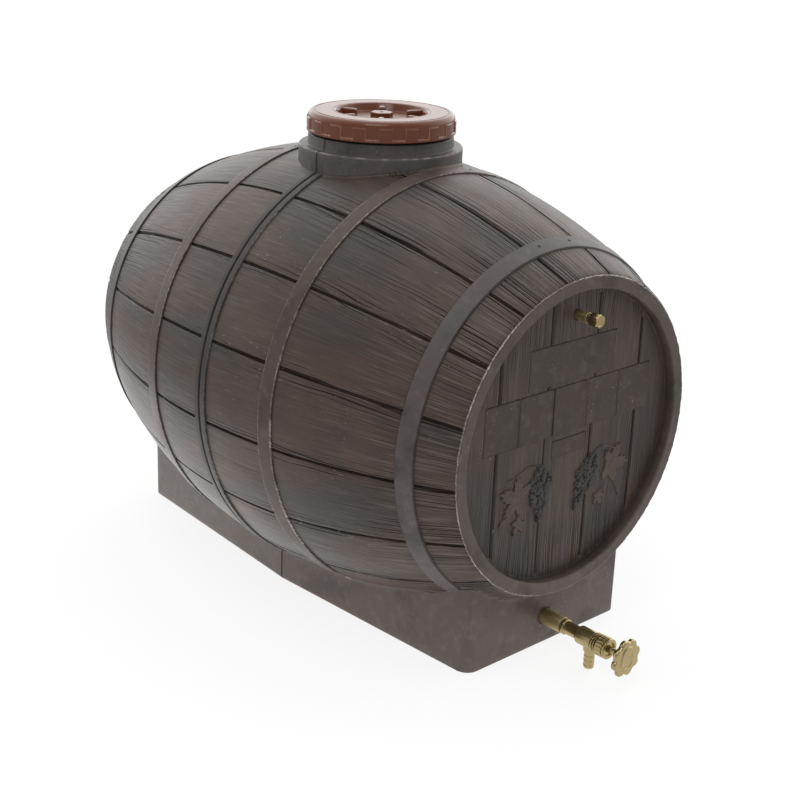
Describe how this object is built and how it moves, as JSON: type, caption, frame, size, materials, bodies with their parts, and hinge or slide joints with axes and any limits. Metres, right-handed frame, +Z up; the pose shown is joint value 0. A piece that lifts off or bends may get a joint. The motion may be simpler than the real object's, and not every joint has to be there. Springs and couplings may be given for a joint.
{
  "type": "plastic wine barrel",
  "caption": "Moulded plastic barrel lying on its own base, with a screw lid on top, a brass drain tap with handwheel low in front and a brass vent plug in the front head.",
  "frame": {"origin": "centre of the base underside", "axes": "+Z up, +Y along the barrel axis from the tap end to the back, +X to the right seen from the tap end"},
  "size_m": [0.643, 0.9379, 0.696],
  "materials": {
    "moulded_polyethylene": "matt, moulded with a wood grain",
    "lid_polypropylene": "satin, injection moulded",
    "cast_brass": "turned and cast, satin",
    "rubber": "matt",
    "fibre": "pressed fibre, matt"
  },
  "bodies": {
    "barrel": {"barrel_shell": "moulded_polyethylene", "tap_insert": "cast_brass", "inlet_washer": "fibre", "tap_body": "cast_brass", "bonnet_washer": "fibre", "bonnet": "cast_brass", "gland_packing": "rubber", "gland_follower": "cast_brass", "gland_nut": "cast_brass", "vent_insert": "cast_brass"},
    "seal": {"lid_seal": "rubber"},
    "lid": {"lid": "lid_polypropylene"},
    "valve": {"jumper": "cast_brass", "jumper_washer": "rubber", "jumper_nut": "cast_brass"},
    "spindle": {"stem": "cast_brass", "handwheel": "cast_brass"},
    "vent_seal": {"vent_washer": "fibre"},
    "vent": {"vent_plug": "cast_brass"}
  },
  "joints": [
    {"name": "lid_rise", "type": "slide", "parent": "barrel", "child": "seal", "axis": [0, 0, 1], "range_m": [0, 0.027]},
    {"name": "lid_turn", "type": "hinge", "parent": "seal", "child": "lid", "pos_m": [0, 0, 0.68], "axis": [0, 0, 1], "range_deg": [0, 1081]},
    {"name": "valve_lift", "type": "slide", "parent": "barrel", "child": "valve", "axis": [0, -1, 0], "range_m": [0, 0.006]},
    {"name": "tap_turn", "type": "hinge", "parent": "valve", "child": "spindle", "pos_m": [0, -0.45, 0.043], "axis": [0, -1, 0], "range_deg": [0, 1081]},
    {"name": "vent_lift", "type": "slide", "parent": "barrel", "child": "vent_seal", "axis": [0, -1, 0], "range_m": [0, 0.005]},
    {"name": "vent_turn", "type": "hinge", "parent": "vent_seal", "child": "vent", "pos_m": [0, -0.41, 0.488], "axis": [0, -1, 0], "range_deg": [0, 1802]}
  ],
  "couplings": [
    {"joint": "lid_turn", "follows": "lid_rise", "rad_per_m": 698.13},
    {"joint": "tap_turn", "follows": "valve_lift", "rad_per_m": 3141.6},
    {"joint": "vent_turn", "follows": "vent_lift", "rad_per_m": 6283.2}
  ]
}
